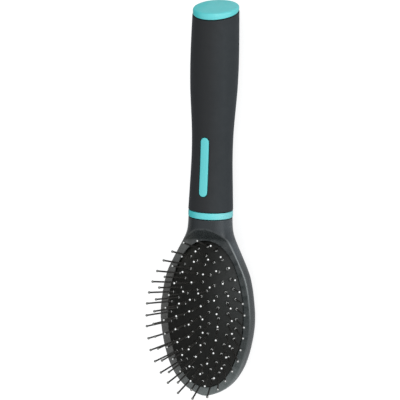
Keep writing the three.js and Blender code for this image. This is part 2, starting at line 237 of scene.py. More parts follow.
class Build:
    """collects points and faces"""

    def __init__(self):
        self.blocks, self.faces, self.slots = [], [], []
        self.count = 0

    def points(self, points):
        """adds points and returns their indices"""
        block = np.asarray(points, float).reshape(-1, 3)
        self.blocks.append(block)
        start = self.count
        self.count += len(block)
        return np.arange(start, self.count)

    def all_points(self):
        return np.concatenate(self.blocks)

    def face(self, corners, slot=0):
        self.faces.append(tuple(int(i) for i in corners))
        self.slots.append(slot)

    def band(self, first, second, slot=0):
        """quads between two closed rows of the same length"""
        for i in range(len(first)):
            j = (i + 1) % len(first)
            self.face((first[i], first[j], second[j], second[i]), slot)

    def bands(self, rows):
        for first, second in zip(rows, rows[1:]):
            self.band(first, second)

    def fan(self, ring, centre, flip=False, slot=0):
        """triangles from a ring to a centre point"""
        tip = self.points([centre])[0]
        for i in range(len(ring)):
            j = (i + 1) % len(ring)
            self.face((ring[j], ring[i], tip) if flip else (ring[i], ring[j], tip), slot)

    def mesh(self, name, materials):
        return make(name, self.all_points(), self.faces, materials, self.slots)


def tidy(obj, merge_mm=0.001):
    """merges doubled points, drops loose ones and makes every face point outwards"""
    bm = bmesh.new()
    bm.from_mesh(obj.data)
    bmesh.ops.remove_doubles(bm, verts=bm.verts, dist=merge_mm / 1000)
    bmesh.ops.dissolve_degenerate(bm, edges=bm.edges, dist=1e-7)
    loose = [v for v in bm.verts if not v.link_faces]
    bmesh.ops.delete(bm, geom=loose, context="VERTS")
    bmesh.ops.recalc_face_normals(bm, faces=bm.faces)
    bm.to_mesh(obj.data)
    bm.free()
    obj.data.update()
    return obj


def attach(obj, carrier, piece):
    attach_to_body(obj, carrier)
    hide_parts(piece)


# ---------------------------------------------------------------- mesh of a level surface
PROBE = 0.02


def rmax(first, second, radius):
    """larger of two distances with the edge between them rounded"""
    outer = np.hypot(np.maximum(first + radius, 0), np.maximum(second + radius, 0))
    return np.minimum(np.maximum(first, second), -radius) + outer


def level_rise(level, points):
    """change of the level along each axis, from PROBE before the points to PROBE past them"""
    return np.stack([level(*(points + d).T) - level(*(points - d).T) for d in np.eye(3) * PROBE], 1)


def project(level, points):
    """moves points onto the surface, at most 0.3 mm in each of two rounds"""
    for _ in range(2):
        slope = level_rise(level, points) / (2 * PROBE)
        move = level(*points.T)[:, None] * slope / np.maximum((slope * slope).sum(1), 0.05)[:, None]
        length = np.linalg.norm(move, axis=1)
        points = points - move * np.minimum(1, 0.3 / np.maximum(length, 1e-9))[:, None]
    return points


def cell_points(values, cells):
    """mean of the places where the edges of each cell cross zero, in cell units"""
    total, count = np.zeros((len(cells), 3)), np.zeros(len(cells))
    for corner in product((0, 1), repeat=3):
        for axis in range(3):
            if corner[axis]:
                continue
            step = np.eye(3, dtype=int)[axis]
            start = values[tuple((cells + corner).T)]
            end = values[tuple((cells + corner + step).T)]
            crossed = (start < 0) != (end < 0)
            part = start[crossed] / (start[crossed] - end[crossed])
            total[crossed] += np.array(corner, float) + part[:, None] * step
            count[crossed] += 1
    return total / count[:, None]


def cell_quads(inside, index):
    """one quad round every grid edge that crosses the surface"""
    quads = []
    for axis in range(3):
        second, third = (axis + 1) % 3, (axis + 2) % 3
        start = np.take(inside, range(0, inside.shape[axis] - 1), axis)
        end = np.take(inside, range(1, inside.shape[axis]), axis)
        edges = np.argwhere(start != end)
        edges = edges[(edges[:, second] > 0) & (edges[:, third] > 0)]
        ring = []
        for back_second, back_third in ((-1, -1), (0, -1), (0, 0), (-1, 0)):
            cell = edges.copy()
            cell[:, second] += back_second
            cell[:, third] += back_third
            ring.append(index[tuple(cell.T)])
        quad = np.stack(ring, 1)
        quads.append(np.where(start[tuple(edges.T)][:, None], quad, quad[:, ::-1]))
    return np.concatenate(quads)


def surface(level, low, high, step):
    """closed quad mesh of level(x, y, z) = 0 from a grid, its points on the exact surface"""
    axes = [np.arange(a, b + step, step) for a, b in zip(low, high)]
    values = level(*np.meshgrid(*axes, indexing="ij"))
    inside = values < 0
    nx, ny, nz = values.shape
    count = np.zeros((nx - 1, ny - 1, nz - 1), np.int8)
    for i, j, k in product((0, 1), repeat=3):
        count += inside[i:nx - 1 + i, j:ny - 1 + j, k:nz - 1 + k]
    active = (count > 0) & (count < 8)
    cells = np.argwhere(active)
    index = np.full(active.shape, -1, np.int64)
    index[active] = np.arange(len(cells))
    origin = np.array([axis[0] for axis in axes])
    points = origin + step * (cells + cell_points(values, cells))
    faces = cell_quads(inside, index)

    # relax along the surface three times
    edges = np.concatenate([faces[:, [i, (i + 1) % 4]] for i in range(4)])
    degree = np.bincount(edges.ravel(), minlength=len(points)).astype(float)
    points = project(level, points)
    for _ in range(3):
        total = np.zeros_like(points)
        for c in range(3):
            total[:, c] = (np.bincount(edges[:, 0], points[edges[:, 1], c], len(points))
                           + np.bincount(edges[:, 1], points[edges[:, 0], c], len(points)))
        points = project(level, 0.5 * points + 0.5 * total / degree[:, None])
    return points, faces


# ---------------------------------------------------------------- shader helpers
def feed(socket, value):
    """links the input to another socket, or sets its value"""
    if hasattr(value, "node"):
        socket.id_data.links.new(value, socket)
    else:
        socket.default_value = (*value, 1) if socket.type == "RGBA" else value


class Shader:
    """a Principled material with short calls for the nodes that feed it"""

    def __init__(self, name):
        self.material = bpy.data.materials.new(name)
        self.material.use_nodes = True
        self.nodes = self.material.node_tree.nodes
        self.principled = self.nodes["Principled BSDF"]
        self.place = self.add("TexCoord").outputs["Object"]
        self.relief = None

    def fill(self, node, inputs):
        for name, value in inputs.items():
            feed(node.inputs[name.replace("_", " ")], value)

    def add(self, kind, **inputs):
        node = self.nodes.new("ShaderNode" + kind)
        self.fill(node, inputs)
        return node

    def set(self, **inputs):
        self.fill(self.principled, inputs)

    def noise(self, scale, detail, stretch=None):
        place = self.place
        if stretch is not None:
            place = self.add("Mapping", Scale=stretch, Vector=place).outputs["Vector"]
        node = self.add("TexNoise", Scale=scale, Detail=detail, Roughness=0.55, Vector=place)
        return node.outputs["Fac"]

    def spots(self, scale):
        return self.add("TexVoronoi", Scale=scale, Vector=self.place).outputs["Distance"]

    def axis(self, letter):
        """one object coordinate in metres"""
        return self.add("SeparateXYZ", Vector=self.place).outputs[letter]

    def point_value(self, name):
        node = self.add("Attribute")
        node.attribute_name = name
        return node.outputs["Fac"]

    def times(self, first, second):
        node = self.add("Math")
        node.operation = "MULTIPLY"
        feed(node.inputs[0], first)
        feed(node.inputs[1], second)
        return node.outputs[0]

    def ramp(self, source, low, high, start=0.3, end=0.7):
        """colour that runs from low at start to high at end"""
        node = self.add("ValToRGB", Fac=source)
        for element, place, colour in zip(node.color_ramp.elements, (start, end), (low, high)):
            element.position = place
            element.color = (*colour, 1)
        return node.outputs["Color"]

    def span(self, source, low, high, start=0.3, end=0.7):
        """value that runs from low at start to high at end"""
        return self.add("MapRange", From_Min=start, From_Max=end, To_Min=low, To_Max=high,
                        Value=source).outputs["Result"]

    def rise(self, source, start, end):
        return self.span(source, 0.0, 1.0, start, end)

    def fall(self, source, start, end):
        return self.span(source, 1.0, 0.0, start, end)

    def mix(self, factor, at_0, at_1):
        node = self.add("Mix")
        node.data_type = "RGBA"
        for i, value in ((0, factor), (6, at_0), (7, at_1)):      # 6 and 7 are the colour inputs
            feed(node.inputs[i], value)
        return node.outputs[2]

    def bump(self, height, distance, strength):
        """relief (distance in metres) on top of any earlier one"""
        node = self.add("Bump", Distance=distance, Strength=strength, Height=height)
        if self.relief is not None:
            feed(node.inputs["Normal"], self.relief)
        self.relief = node.outputs["Normal"]
        self.set(Normal=self.relief)


# ---------------------------------------------------------------- materials
def head_plastic():
    shader = Shader("head_plastic")
    mix, rise, fall, times = shader.mix, shader.rise, shader.fall, shader.times
    broad = shader.noise(scale=38, detail=2)
    medium = shader.noise(scale=420, detail=3)
    fine = shader.noise(scale=2600, detail=2)
    along, up = shader.axis("Y"), shader.axis("Z")
    base = shader.ramp(broad, low=(0.0100, 0.0140, 0.0160), high=(0.0135, 0.0180, 0.0200))
    # painted light and shade on the rim: paler on -X along the sides, palest on +X at the tip
    right = rise(shader.axis("X"), start=-0.020, end=0.004)
    rim = mix(fall(along, start=-0.040, end=-0.012),
              at_0=mix(right, at_0=(0.0570, 0.0555, 0.0505), at_1=(0.0280, 0.0340, 0.0335)),
              at_1=mix(right, at_0=(0.0640, 0.0660, 0.0625), at_1=(0.1080, 0.1240, 0.1200)))
    painted_rim_mask = times(fall(along, start=0.022, end=0.038), rise(up, start=0.0150, end=0.0164))
    # painted light and shade on the ledge and the neck: paler on the -X side, darker past it, the neck painted
    # palest towards +X
    across, flat = shader.axis("X"), shader.point_value("slope")
    ledge = mix(rise(across, start=-0.013, end=-0.004),
                at_0=(0.0600, 0.0620, 0.0580), at_1=(0.0265, 0.0310, 0.0315))
    neck_painted_highlight = (0.0400, 0.0480, 0.0530)
    neck = mix(rise(across, start=-0.011, end=-0.003),
               at_0=(0.0260, 0.0290, 0.0290), at_1=(0.0070, 0.0100, 0.0120))
    neck = mix(times(rise(across, start=0.006, end=0.013), rise(along, start=0.044, end=0.051)),
               at_0=neck, at_1=neck_painted_highlight)
    neck = mix(rise(across, start=0.0115, end=0.0145), at_0=neck, at_1=neck_painted_highlight)
    base = mix(rise(along, start=0.026, end=0.034), at_0=base, at_1=mix(flat, neck, ledge))
    # painted highlight: the "edge" line is painted pale
    shader.set(Base_Color=mix(shader.point_value("edge"), at_0=mix(painted_rim_mask, base, rim),
                              at_1=(0.175, 0.190, 0.190)),
               Roughness=shader.span(medium, low=0.22, high=0.30),
               Specular_IOR_Level=shader.span(flat, low=0.40, high=0.5, start=0.0, end=1.0))
    shader.bump(medium, distance=0.00003, strength=0.08)
    shader.bump(fine, distance=0.000012, strength=0.06)
    return shader.material


def grip_rubber():
    shader = Shader("grip_rubber")
    broad = shader.noise(scale=22, detail=3)
    medium = shader.noise(scale=240, detail=4)
    fine = shader.noise(scale=3400, detail=3)
    grain = shader.spots(scale=2600)
    base = shader.ramp(broad, low=(0.0085, 0.0095, 0.0105), high=(0.0115, 0.0125, 0.0135))
    base = shader.mix(shader.span(medium, low=0.0, high=0.35),
                      at_0=base, at_1=(0.0135, 0.0145, 0.0155))
    # painted light: paler towards +X, the lit side
    base = shader.mix(shader.span(shader.axis("X"), low=0.0, high=0.65, start=0.002, end=0.009),
                      at_0=base, at_1=(0.0165, 0.0215, 0.0245))
    shader.set(Base_Color=base, Roughness=shader.span(medium, low=0.58, high=0.72),
               Specular_IOR_Level=0.28, Sheen_Weight=0.05, Sheen_Roughness=0.4,
               Sheen_Tint=(0.75, 0.85, 1.0))
    shader.bump(medium, distance=0.00004, strength=0.25)
    shader.bump(grain, distance=0.00004, strength=0.35)
    shader.bump(fine, distance=0.00003, strength=0.4)
    return shader.material


def accent_plastic():
    shader = Shader("accent_plastic")
    broad = shader.noise(scale=30, detail=2)
    medium = shader.noise(scale=520, detail=3)
    fine = shader.noise(scale=3000, detail=2)
    base = shader.ramp(broad, low=(0.052, 0.440, 0.448), high=(0.062, 0.470, 0.480))
    # painted shade and light: deeper towards -X, paler towards +X near the head
    across, near = shader.axis("X"), shader.fall(shader.axis("Y"), start=0.075, end=0.085)
    base = shader.mix(shader.rise(across, start=-0.0080, end=-0.0030),
                      at_0=(0.0180, 0.4450, 0.4500), at_1=base)
    base = shader.mix(shader.times(near, shader.rise(across, start=0.004, end=0.011)),
                      at_0=base, at_1=(0.1250, 0.4850, 0.4950))
    shader.set(Base_Color=base, Roughness=shader.span(medium, low=0.33, high=0.43),
               Specular_IOR_Level=1.0)
    shader.bump(medium, distance=0.00003, strength=0.3)
    shader.bump(fine, distance=0.000012, strength=0.3)
    return shader.material


def pad_rubber():
    shader = Shader("pad_rubber")
    rise, fall = shader.rise, shader.fall
    broad = shader.noise(scale=60, detail=3)
    medium = shader.noise(scale=700, detail=3)
    fine = shader.noise(scale=3600, detail=2)
    base = shader.ramp(broad, low=(0.0046, 0.0046, 0.0034), high=(0.0072, 0.0071, 0.0056))
    # painted sheen towards +X +Y; paler at the handle end towards -X
    painted_sheen = shader.times(rise(shader.axis("X"), start=0.001, end=0.022),
                          rise(shader.axis("Y"), start=-0.018, end=0.018))
    base = shader.mix(painted_sheen, at_0=base, at_1=(0.0300, 0.0325, 0.0315))
    paler_corner = shader.times(fall(shader.axis("X"), start=-0.012, end=-0.003),
                         rise(shader.axis("Y"), start=0.024, end=0.034))
    base = shader.mix(paler_corner, at_0=base, at_1=(0.0180, 0.0180, 0.0150))
    shader.set(Base_Color=base, Roughness=shader.span(medium, low=0.40, high=0.54),
               Specular_IOR_Level=0.17)
    shader.bump(medium, distance=0.00005, strength=0.3)
    shader.bump(fine, distance=0.00002, strength=0.35)
    return shader.material


def pin_steel(name, colour, rough, metal=1.0, outline=None):
    """steel with a (low, high) roughness; a ball also gets painted shade round its outline, which leaves a painted
    highlight in its middle
    """
    shader = Shader(name)
    lines = shader.noise(scale=5200, detail=2, stretch=(1, 1, 0.04))
    stain = shader.noise(scale=240, detail=3)
    base = shader.mix(shader.span(stain, low=0.0, high=0.4),
                      at_0=colour, at_1=tuple(x * 0.82 for x in colour))
    if outline is not None:
        # painted shade round the outline, painted highlight in the middle
        turned = shader.add("LayerWeight", Blend=0.5).outputs["Facing"]
        base = shader.mix(shader.rise(turned, start=0.10, end=0.38), at_0=base, at_1=outline)
        metal = shader.fall(turned, start=0.16, end=0.36)
    shader.set(Base_Color=base, Metallic=metal, Roughness=shader.span(stain, *rough))
    shader.bump(lines, distance=0.000006, strength=0.4)
    return shader.material


HEAD = head_plastic()
GRIP = grip_rubber()
ACCENT = accent_plastic()
PAD = pad_rubber()
PAINTED_OUTLINE_SHADE = (0.06, 0.06, 0.056)
SHAFT = pin_steel("pin_steel", colour=(0.036, 0.034, 0.031), rough=(0.24, 0.34), metal=0.3)
BEAD = pin_steel("pin_steel_collar", colour=(0.44, 0.44, 0.425), rough=(0.18, 0.28))
# lit and shaded copies of the tips' steel: pin_steel_tip is lit, the other two carry painted shade
BALL = pin_steel("pin_steel_tip", colour=(0.72, 0.72, 0.705), rough=(0.12, 0.2), outline=PAINTED_OUTLINE_SHADE)
HALF_SHADED_TIP = pin_steel("pin_steel_tip_painted_half_shade", colour=(0.46, 0.46, 0.445), rough=(0.16, 0.26),
                 outline=PAINTED_OUTLINE_SHADE)
SHADED_TIP = pin_steel("pin_steel_tip_painted_shade", colour=(0.19, 0.19, 0.175), rough=(0.26, 0.36),
                 outline=PAINTED_OUTLINE_SHADE)

# ---------------------------------------------------------------- head with neck and well
# the tip's outline in polar form round (0, WIDEST_Y), angles from -Y
tip_y = TIP_Y + (WIDEST_Y - TIP_Y) * np.linspace(0, 1, 900) ** 2
tip_width = head_width(tip_y)
tip_width[0] = 0.0
POLAR_ANGLE = np.arctan2(tip_width, WIDEST_Y - tip_y)
POLAR_R = np.hypot(tip_width, WIDEST_Y - tip_y)


def outer_level(x, y, z):
    """superellipse sections that blend from the head to the rounder neck; 0 on the surface"""
    across = np.abs(x)
    neck = ease((y - 30) / 20)
    middle = -9.2 - 0.8776 * neck
    keel = -23.3 + 2.07 * ease((y - 26) / 26)
    crest = 1.05
    ahead = np.maximum(WIDEST_Y - y, 0)
    tip_radius = np.interp(np.arctan2(across, ahead), POLAR_ANGLE, POLAR_R)
    plan = np.where(y < WIDEST_Y, np.hypot(across, ahead) / tip_radius,
                    across / head_width(np.maximum(y, 0)))
    upper = z > middle
    height = np.where(upper, (z - middle) / (crest - middle) * (1 - 0.45 * ease(ahead / 43)),
                      (middle - z) / (middle - keel))
    power = np.where(upper, 3 - neck, 2.3 - 0.3 * neck + 0.35 * ease(ahead / 25))
    return (plan ** power + np.maximum(height, 0) ** power) ** (1 / power) - 1


def head_levels(x, y, z):
    """rough distances to the outside, to the face with rim and ledge, and to the pad's outline"""
    step = 0.03
    outer = outer_level(x, y, z)
    slope_x = (outer_level(x + step, y, z) - outer) / step
    slope_y = (outer_level(x, y + step, z) - outer) / step
    slope_z = (outer_level(x, y, z + step) - outer) / step
    steepness = slope_x * slope_x + slope_y * slope_y + slope_z * slope_z
    shell = outer / np.sqrt(np.maximum(steepness, 0.0004))
    # the ledge's foot bows and skews across the head and is rounded
    past = y - (LEDGE_Y - 0.01 * np.minimum(x * x, 400) + 0.13 * np.clip(x, 0, 14))
    root = np.sqrt(past * past + 0.8)
    climb = LEDGE_SLOPE * (past + root) / 2
    slope = LEDGE_SLOPE * (1 + past / root) / 2
    pad = pad_distance(x, y)
    rim = RIM_Z + 0.14 * np.clip(pad - 2.3, -3, 3)
    skew = 0.02 * np.clip(x, -20, 20)
    face = (z - rim - climb) / np.sqrt(1.02 + slope ** 2 * (1 + skew ** 2))
    return shell, face, pad


def head_level(x, y, z):
    shell, face, pad = head_levels(x, y, z)
    level = rmax(shell, face, 0.6)
    level = rmax(level, np.minimum(0.10 - pad, z - WELL_Z), 0.25)      # well
    level = rmax(level, -LIFT - z, 0.6)                                # resting flat
    return rmax(level, y - NECK_END, 0.3)


def head_shell():
    points, faces = surface(head_level, low=(-27.42, -42.3, -24.0), high=(27.3, 56.0, 1.9),
                            step=0.47)
    head = make("head_shell", points, faces, [HEAD])
    x, y, z = points.T
    shell, face, _ = head_levels(x, y, z)
    # "edge": painted highlight line between outside and face, on the +X side from the middle to the neck
    painted_highlight_line = (np.exp(-((shell - face) / 0.40) ** 2) * ease((x - 4) / 8) * ease((y + 8) / 34)
            * ease((46 - y) / 6))
    painted_highlight_line *= (np.maximum(shell, face) > -0.6)
    # "slope": 1 on the rim and ledge face and everywhere but the neck
    flat = np.maximum(ease(1.3 - np.abs(face) / 0.45), 1 - ease((y - 30) / 8))
    normals = level_rise(head_level, points)
    normals /= np.maximum(np.linalg.norm(normals, axis=1), 1e-9)[:, None]
    head.data.normals_split_custom_set_from_vertices(normals.tolist())
    for name, values in (("edge", painted_highlight_line), ("slope", flat)):
        attribute = head.data.attributes.new(name, "FLOAT", "POINT")
        attribute.data.foreach_set("value", values.astype(np.float32))
    return head


attach(head_shell(), "brush", "brush_head")

# ---------------------------------------------------------------- ovals round the handle
SIDES = 144
PHI = np.arange(SIDES) * 2 * np.pi / SIDES        # from the top (+Z) towards +X


def oval(half_width, half_height, y, centre_z):
    """ring of an oval section; y may vary round it"""
    y = np.broadcast_to(np.asarray(y, float), PHI.shape)
    return np.stack([half_width * np.sin(PHI), y, centre_z + half_height * np.cos(PHI)], -1)


def collar():
    """ring with a slightly bulged outer face, rounded edges and a bore"""
    start, end = COLLAR_Y
    rounding, bulge = quarter(0.35, 6), 0.04
    profile = [(start + run, inset) for run, inset in rounding[::-1]]
    profile += [(start + (end - start) * k, -bulge * math.sin(math.pi * k))
                for k in (0.25, 0.5, 0.75)]
    profile += [(end - run, inset) for run, inset in rounding]
    rings = [oval(COLLAR_A - inset, COLLAR_A * ovalness(y) - inset, y, axis_z(y))
             for y, inset in profile]
    rings += [oval(BORE_A, BORE_B, y, axis_z(y)) for y in (end, start)]
    build = Build()
    rows = [build.points(ring) for ring in rings]
    build.bands(rows + rows[:1])
    return build.mesh("collar", [ACCENT])


attach(collar(), "brush", "collar_ring")


# ---------------------------------------------------------------- grip with a pocket for the inlay bar
def grip_point(y, inset=0.0):
    half_width, centre = grip_width(y), axis_z(y)
    half_height = half_width * ovalness(y)
    return np.stack([(half_width - inset) * np.sin(PHI), y,
                     centre + (half_height - inset) * np.cos(PHI)], -1)


def grip_top(x, y):
    """height of the grip's surface over the plan point (x, y)"""
    half = grip_width(y)
    return axis_z(y) + half * ovalness(y) * np.sqrt(np.maximum(0, 1 - (x / half) ** 2))


def stadium(radius):
    """bar-shaped outline of the given half-width; its points match for every radius"""
    start, end = BAR_ARC_Y
    side = np.linspace(start, end, BAR_SIDE_POINTS)
    arc = np.linspace(0, math.pi, BAR_ARC_STEPS + 1)[1:-1]
    points = [(radius, y) for y in side]
    points += [(radius * math.cos(t), end + radius * math.sin(t)) for t in arc]
    points += [(-radius, y) for y in side[::-1]]
    points += [(-radius * math.cos(t), start - radius * math.sin(t)) for t in arc]
    return np.array(points)


def level_stadium(radius, z):
    plan = stadium(radius)
    return np.column_stack([plan, np.full(len(plan), z)])


def pocket(build):
    """rim, rounded lip, wall and floor; returns the outermost loop"""
    lip = 0.28
    shape = [(1.0, 0), (0.5, 0), (lip, 0)] + quarter(lip, 5)[1:] + [(0, 0.7), (0, 1.2)]
    loops = []
    for grow, drop in shape:
        plan = stadium(POCKET_R + grow)
        height = grip_top(plan[:, 0], plan[:, 1]) - drop
        loops.append(build.points(np.column_stack([plan, height])))
    for radius in (POCKET_R, POCKET_R * 0.5, 1e-4):
        loops.append(build.points(level_stadium(radius, POCKET_FLOOR)))
    build.bands(loops)
    return loops[0]


def fill_round_pocket(build, rows, near, far, columns, loop):
    """triangles between the hole in the grip's grid and the pocket's outermost loop"""
    points = build.all_points()

    def unroll(i):
        x, y = points[i][:2]
        return (math.asin(max(-1, min(1, x / grip_width(y)))) * 11.3, y)

    def reach(across, y):
        return math.hypot(across, max(BAR_ARC_Y[0] - y, 0, y - BAR_ARC_Y[1]))

    # once round the hole: near row, last column, far row, first column
    ids = [rows[near][c] for c in columns]
    ids += [rows[k][columns[-1]] for k in range(near + 1, far + 1)]
    ids += [rows[far][c] for c in columns[::-1][1:]]
    ids += [rows[k][columns[0]] for k in range(far - 1, near, -1)]
    border, width = len(ids), len(columns)
    ids += list(loop)
    fixed = len(ids)
    flat = [unroll(i) for i in ids]
    near_across, near_y = zip(*flat[:width])
    far_start = width + far - near - 1
    far_across, far_y = zip(*flat[far_start:far_start + width][::-1])
    for k in range(near + 1, far):
        for c in columns[1:-1]:
            place = unroll(rows[k][c])
            if reach(*place) > POCKET_R + 1.0 + 0.55:
                ids.append(rows[k][c])
                flat.append(place)
    edges = [(i, (i + 1) % border) for i in range(border)]
    edges += [(border + i, border + (i + 1) % len(loop)) for i in range(len(loop))]
    result = delaunay_2d_cdt([Vector(p) for p in flat], edges, [], 0, 1e-7)
    source = [origins[0] for origins in result[3]]
    for triangle in result[2]:
        corners = [source[i] for i in triangle]
        across, y = np.mean([flat[i] for i in corners], axis=0)
        if all(border <= i < fixed for i in corners) or reach(across, y) < POCKET_R + 0.9:
            continue
        if across < near_across[0] or across > near_across[-1]:
            continue
        if not np.interp(across, near_across, near_y) < y < np.interp(across, far_across, far_y):
            continue
        face = [ids[i] for i in corners]
        first, second, third = points[face]
        upwards = np.cross(second - first, third - first)[2] > 0
        build.face(face if upwards else face[::-1])


def grip():
    rounding = 0.45
    edge = quarter(rounding, 5)
    end_b = grip_width(GRIP_END) * ovalness(GRIP_END)
    far_y = GRIP_END - CAP_LEAN * end_b * np.cos(PHI)       # slanted like the end cap
    rings = [grip_point(np.full(SIDES, GRIP_Y0 + run), inset) for run, inset in edge[:0:-1]]
    first = len(rings)
    for part in np.linspace(0, 1, 112):
        start_y = GRIP_Y0 + rounding
        rings.append(grip_point(start_y + part * (far_y - rounding - GRIP_Y0 - rounding)))
    centre_y = np.array([ring[0][1] for ring in rings[first:]])
    rings += [grip_point(far_y - run, inset) for run, inset in edge[1:]]
    shrink = BORE_B / end_b
    rings.append(oval(BORE_A, BORE_B, GRIP_END - CAP_LEAN * end_b * np.cos(PHI) * shrink,
                      axis_z(GRIP_END)))
    rings.append(oval(BORE_A, BORE_B, GRIP_Y0, axis_z(GRIP_Y0)))
    build = Build()
    rows = [build.points(ring) for ring in rings]
    # the grid leaves a hole for the pocket: 15 columns to each side of the top, rows near to far
    half, margin = 15, 3.2
    near = first + int(np.searchsorted(centre_y, BAR_Y[0] - margin))
    far = first + int(np.searchsorted(centre_y, BAR_Y[1] + margin))
    for k in range(len(rows)):
        row, following = rows[k], rows[(k + 1) % len(rows)]
        for c in range(SIDES):
            signed = c if c < SIDES // 2 else c - SIDES
            if near <= k < far and -half <= signed < half:
                continue
            d = (c + 1) % SIDES
            build.face((row[c], row[d], following[d], following[c]))
    columns = [c % SIDES for c in range(-half, half + 1)]
    fill_round_pocket(build, rows, near, far, columns, pocket(build))
    return tidy(build.mesh("grip", [GRIP]), 0.0004)


attach(grip(), "brush", "grip_sleeve")


def inlay():
    """bar with rounded top edges, its top 0.06 above the grip's surface"""
    half = BAR_W / 2
    build = Build()
    rows = [build.points(level_stadium(half - inset, BAR_FLOOR + rise))
            for inset, rise in ((1.2, 0), (0.25, 0), (0, 0.15))]
    shape = [(0, 0.52)] + [(inset, run) for run, inset in quarter(0.4, 7)]
    shape += [(inset, 0) for inset in (0.7, 1.1, 1.6, 2.0, half)]
    for inset, drop in shape:
        plan = stadium(max(half - inset, 1e-4))
        height = grip_top(plan[:, 0], plan[:, 1]) + 0.06 - drop
        rows.append(build.points(np.column_stack([plan, height])))
    build.bands(rows)
    build.band(build.points(level_stadium(1e-4, BAR_FLOOR)), rows[0])
    return tidy(build.mesh("inlay", [ACCENT]), 0.0006)


attach(inlay(), "brush", "inlay_bar")


# ---------------------------------------------------------------- slanted end cap
def cap():
    """low cap with a plug that reaches into the grip"""
    cap_b = CAP_A * ovalness(CAP_Y)
    centre_z = axis_z(CAP_Y)

    def slanted(part_a, part_b, height, rise=0.0):
        """ring scaled from the cap's outline; height 0 on the joint's plane, 1 on the top's"""
        lean = CAP_LEAN + (CAP_TOP_LEAN - CAP_LEAN) * height
        y = CAP_Y + (CAP_TOP - CAP_Y) * height + rise - lean * cap_b * part_b * np.cos(PHI)
        return oval(CAP_A * part_a, cap_b * part_b, y, centre_z)

    plug_y = CAP_Y - PLUG_LEN
    plug_z = axis_z(plug_y)
    chamfer = 0.5
    rings = [
        oval(PLUG_A * 0.02, PLUG_B * 0.02, plug_y, plug_z),
        oval(PLUG_A - chamfer, PLUG_B - chamfer, plug_y, plug_z),
        oval(PLUG_A, PLUG_B, plug_y + chamfer, plug_z),
        slanted(PLUG_A / CAP_A, PLUG_B / cap_b, 0),
        slanted(0.9, 0.9, 0)]
    for run, inset in quarter(0.3, 4)[::-1]:
        part = 1 - inset / CAP_A
        rings.append(slanted(part, part, 0, run))
    rings.append(slanted(1, 1, 0.45))
    for run, inset in quarter(1.15, 9):
        part = 1 - inset / CAP_A
        rings.append(slanted(part, part, 1, -run * 0.85))
    crown = 0.264
    for part in (0.84, 0.72, 0.56, 0.38, 0.2, 0.02):
        rings.append(slanted(part, part, 1, crown * (1 - part * part)))
    build = Build()
    rows = [build.points(ring) for ring in rings]
    build.bands(rows)
    build.fan(rows[0], [0, plug_y, plug_z], flip=True)
    build.fan(rows[-1], [0, CAP_TOP + 0.26, centre_z])
    return tidy(build.mesh("cap", [ACCENT]))


attach(cap(), "brush", "end_cap")

# ---------------------------------------------------------------- banks of pins: (name, feet)
BANKS = []
for ring_name, arcs in RINGS.items():
    for arc, feet in arcs.items():
        if arc in ("top", "bottom", "row"):
            BANKS.append((f"{ring_name}_{arc}", feet))
        else:
            BANKS.append((f"{ring_name}_{arc}_right", feet))
            BANKS.append((f"{ring_name}_{arc}_left", [(-x, y) for x, y in feet]))


# ---------------------------------------------------------------- rubber cushion
EDGE_POINTS = 236
# (inset, drop, turn in half steps) of the rings along the pad's edge
PAD_EDGE = [(0.04, 0.34, 0), (0.10, 0.18, 0), (0.24, 0.07, 0), (0.5, 0.02, 0), (0.85, 0.0, 0),
            (1.4, 0.0, 1)]
# (radius, height) of the nipple round each pin
NIPPLE = [(0.0, 0.62), (0.40, 0.62), (0.60, 0.60), (0.76, 0.50), (0.92, 0.32), (1.10, 0.16),
          (1.34, 0.05), (1.65, 0.0), (2.05, 0.0)]
PAD_STEP = 1.05


def cushion_plan():
    """plan points of the sheet and the offset of each from the dome"""
    feet = np.array([foot for _, bank in BANKS for foot in bank], float)
    plan, offsets = [], []
    angles = np.arange(EDGE_POINTS) * 2 * np.pi / EDGE_POINTS
    for inset, drop, turn in PAD_EDGE:
        plan.extend(pad_points(angles + turn * np.pi / EDGE_POINTS, -inset))
        offsets += [(0, 0, -drop)] * EDGE_POINTS
    for x, y in feet:
        axis = pin_axis(x, y)
        for k, (radius, height) in enumerate(NIPPLE):
            count = 1 if radius == 0 else (12 if radius < 1.2 else 16)
            for j in range(count):
                turn = 2 * np.pi * (j + 0.5 * (k % 2)) / count
                plan.append((x + radius * math.cos(turn), y + radius * math.sin(turn)))
                offsets.append(axis * height)
    # staggered grid over the rest
    for row, y in enumerate(np.arange(-40, 46, PAD_STEP * 0.866)):
        for x in np.arange(-26.25, 26.3, PAD_STEP):
            x = x + (PAD_STEP / 2 if row % 2 else 0)
            if pad_distance(x, y) > -1.9:
                continue
            if np.min(np.hypot(feet[:, 0] - x, feet[:, 1] - y)) < 2.5:
                continue
            plan.append((x, y))
            offsets.append((0, 0, 0))
    return np.array(plan), np.array(offsets)


def cushion():
    """one closed sheet with a nipple round each pin"""
    plan, offsets = cushion_plan()
    edges = [(i, (i + 1) % EDGE_POINTS) for i in range(EDGE_POINTS)]
    result = delaunay_2d_cdt([Vector((float(x), float(y))) for x, y in plan], edges, [], 0, 1e-6)
    source = [origins[0] for origins in result[3]]
    height = dome(plan[:, 0], plan[:, 1])
    build = Build()
    top = build.points(np.column_stack([plan, height]) + offsets)
    low = build.points(np.column_stack([plan, height - PAD_T]))
    for triangle in result[2]:
        corners = [source[i] for i in triangle]
        if pad_distance(*plan[corners].mean(0)) > -0.05:
            continue
        first = plan[corners[1]] - plan[corners[0]]
        second = plan[corners[2]] - plan[corners[0]]
        if first[0] * second[1] - first[1] * second[0] < 0:
            corners = corners[::-1]
        build.face(top[corners])
        build.face(low[corners[::-1]])
    build.band(top[:EDGE_POINTS], low[:EDGE_POINTS])
    return tidy(build.mesh("cushion", [PAD]))


sheet = cushion()
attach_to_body(sheet, "brush")
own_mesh(sheet)
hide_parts("cushion_pad")

